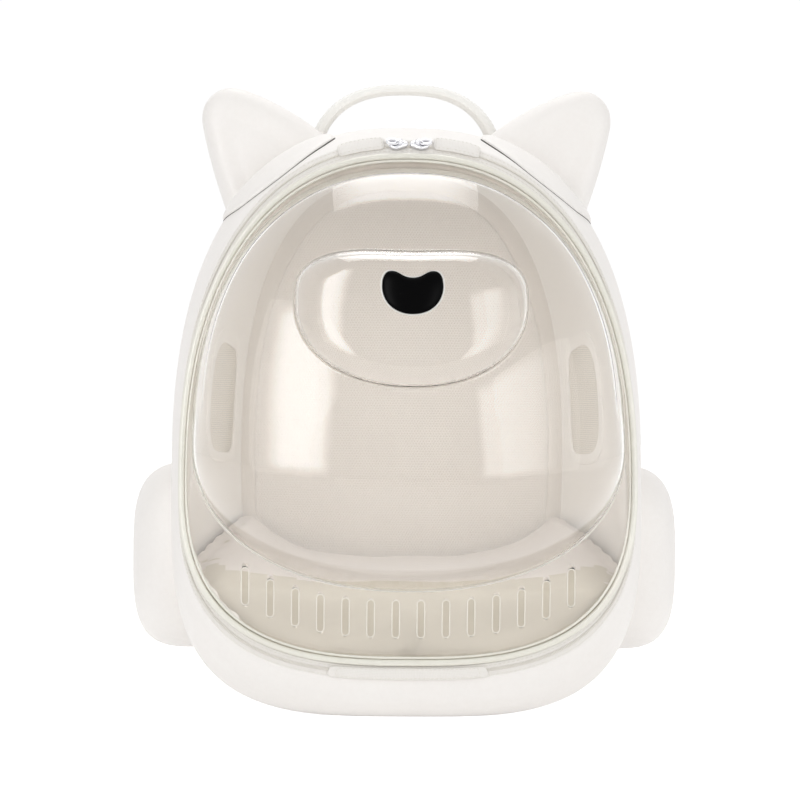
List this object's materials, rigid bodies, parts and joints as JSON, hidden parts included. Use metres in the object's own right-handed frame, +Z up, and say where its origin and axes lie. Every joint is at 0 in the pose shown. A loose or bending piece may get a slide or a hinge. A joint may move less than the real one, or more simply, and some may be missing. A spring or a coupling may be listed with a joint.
{
  "type": "pet carrier backpack",
  "caption": "Moulded backpack for carrying a small pet, with cat ears, side haunches, a zipped clear dome window with vent slots, a grab handle and shoulder straps.",
  "frame": {"origin": "middle of the bounding box, on the plane of the base", "axes": "+Z up to the handle and ears, +Y to the back with the shoulder straps, so the window faces -Y"},
  "size_m": [0.394, 0.3084, 0.454],
  "materials": {
    "cream_shell": "satin",
    "cream_cloth": "woven",
    "beige_cloth": "fine dotted weave",
    "white_mesh": "open mesh",
    "clear_window": "polished",
    "piping": "glossy, slightly see-through",
    "black_nose": "glossy",
    "zip_metal": "bright plated"
  },
  "bodies": {
    "root": {"shell": "cream_shell", "lining": "beige_cloth", "back_panel": "beige_cloth", "floor_mat": "beige_cloth", "window_dome": "clear_window", "nose": "black_nose", "window_piping": "piping", "zip_tape": "cream_cloth", "hinge_tab": "cream_cloth", "handle": "cream_cloth", "ear_left": "cream_shell", "ear_right": "cream_shell", "haunch_left": "cream_shell", "haunch_right": "cream_shell", "side_mesh_left": "white_mesh", "side_mesh_right": "white_mesh", "zip_cover_left": "cream_cloth", "zip_cover_right": "cream_cloth", "zip_slider_left": "zip_metal", "zip_slider_right": "zip_metal", "zip_pull_left": "zip_metal", "zip_pull_right": "zip_metal", "strap_left": "cream_cloth", "strap_right": "cream_cloth", "webbing_left": "cream_cloth", "webbing_right": "cream_cloth"}
  },
  "joints": []
}
